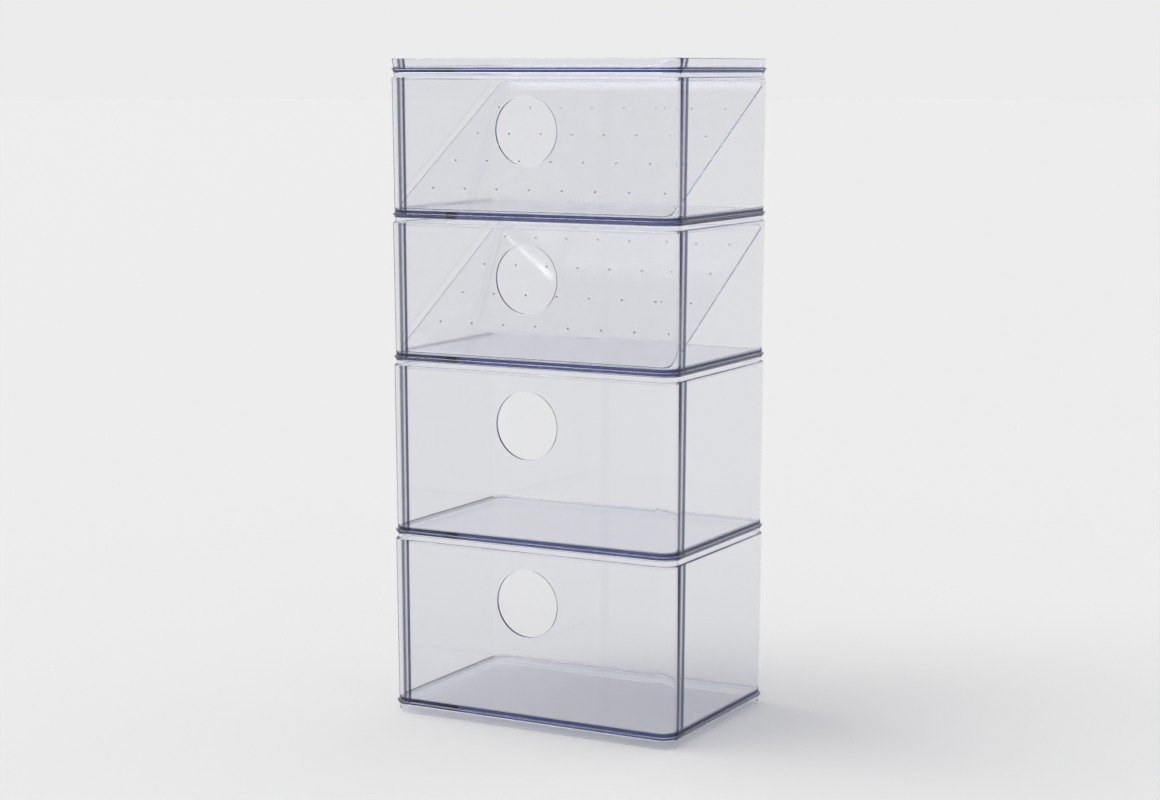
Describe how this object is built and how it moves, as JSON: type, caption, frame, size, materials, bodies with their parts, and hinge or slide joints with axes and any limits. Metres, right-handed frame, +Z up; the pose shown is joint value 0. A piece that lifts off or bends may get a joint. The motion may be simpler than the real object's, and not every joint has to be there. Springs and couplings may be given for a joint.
{
  "type": "stacking shoe box tower",
  "caption": "Tower of clear stacking shoe boxes, deep ones under shallow ones, with round finger holes in front, slanted vented shelves inside and a lift-off tray lid.",
  "frame": {"origin": "on the ground, under the middle of the tower", "axes": "+Z up, -Y out of the front with the finger holes, X along the long side"},
  "size_m": [0.34, 0.235, 0.7005],
  "materials": {
    "clear_box_plastic": "clear, polished, with a faint blue tint that turns navy along the edges",
    "clear_lid_plastic": "clear, polished, with a faint blue tint that turns navy along the edges",
    "clear_shelf_plastic": "clear sheet, slightly hazy"
  },
  "bodies": {
    "bottom_box": {"lower_deep_box": "clear_box_plastic"},
    "second_box": {"upper_deep_box": "clear_box_plastic"},
    "third_box": {"lower_shallow_box": "clear_box_plastic"},
    "top_box": {"upper_shallow_box": "clear_box_plastic"},
    "lid": {"lid": "clear_lid_plastic"},
    "lower_shelf": {"lower_shelf": "clear_shelf_plastic"},
    "upper_shelf": {"upper_shelf": "clear_shelf_plastic"}
  },
  "joints": [
    {"name": "second_box_lift", "type": "slide", "parent": "bottom_box", "child": "second_box", "axis": [0, 0, 1], "range_m": [0, 0.17]},
    {"name": "third_box_lift", "type": "slide", "parent": "second_box", "child": "third_box", "axis": [0, 0, 1], "range_m": [0, 0.17]},
    {"name": "top_box_lift", "type": "slide", "parent": "third_box", "child": "top_box", "axis": [0, 0, 1], "range_m": [0, 0.17]},
    {"name": "lid_lift", "type": "slide", "parent": "top_box", "child": "lid", "axis": [0, 0, 1], "range_m": [0, 0.17]},
    {"name": "lower_shelf_lift", "type": "slide", "parent": "third_box", "child": "lower_shelf", "axis": [0, 0, 1], "range_m": [0, 0.1445]},
    {"name": "upper_shelf_lift", "type": "slide", "parent": "top_box", "child": "upper_shelf", "axis": [0, 0, 1], "range_m": [0, 0.1445]}
  ],
  "couplings": [
    {"joint": "lower_shelf_lift", "follows": "top_box_lift", "ratio": 0.85},
    {"joint": "upper_shelf_lift", "follows": "lid_lift", "ratio": 0.85}
  ]
}
